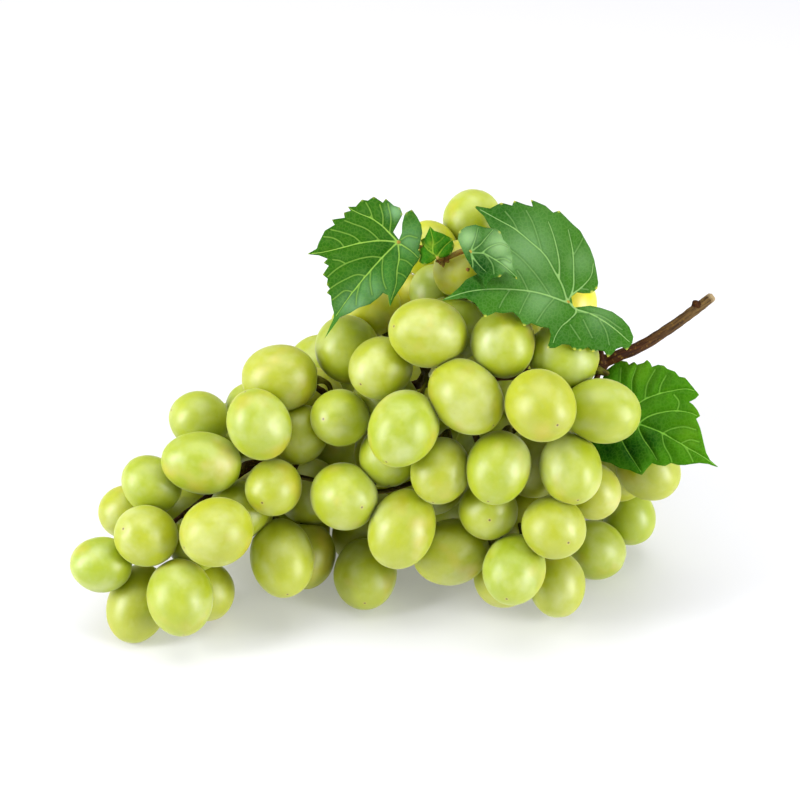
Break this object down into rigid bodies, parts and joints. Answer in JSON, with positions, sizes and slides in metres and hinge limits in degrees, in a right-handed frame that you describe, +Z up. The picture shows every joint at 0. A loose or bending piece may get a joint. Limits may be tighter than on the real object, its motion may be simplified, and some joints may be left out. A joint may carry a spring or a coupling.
{
  "type": "bunch of grapes",
  "caption": "Bunch of large white table grapes lying on its side, with its cut stalk, a thin side shoot and vine leaves.",
  "frame": {"origin": "on the table under the middle of the bunch's box", "axes": "+Z up, +X from the tip of the bunch to its cut stalk, -Y toward the side that shows"},
  "size_m": [0.2064, 0.1286, 0.1234],
  "materials": {
    "grape_skin": "smooth green-yellow skin with a thin waxy bloom",
    "stem_wood": "dark brown dry bark",
    "shoot_wood": "green-brown young bark",
    "leaf_bright": "fresh green leaf with pale veins",
    "leaf_deep": "deep green leaf with pale veins",
    "leaf_young": "pale young leaf"
  },
  "bodies": {
    "root": {"berries": "grape_skin", "stem": "stem_wood", "shoot": "shoot_wood", "leaf_left": "leaf_bright", "leaf_top": "leaf_deep", "leaf_right": "leaf_bright", "leaf_small_left": "leaf_young", "leaf_small_right": "leaf_young"}
  },
  "joints": []
}
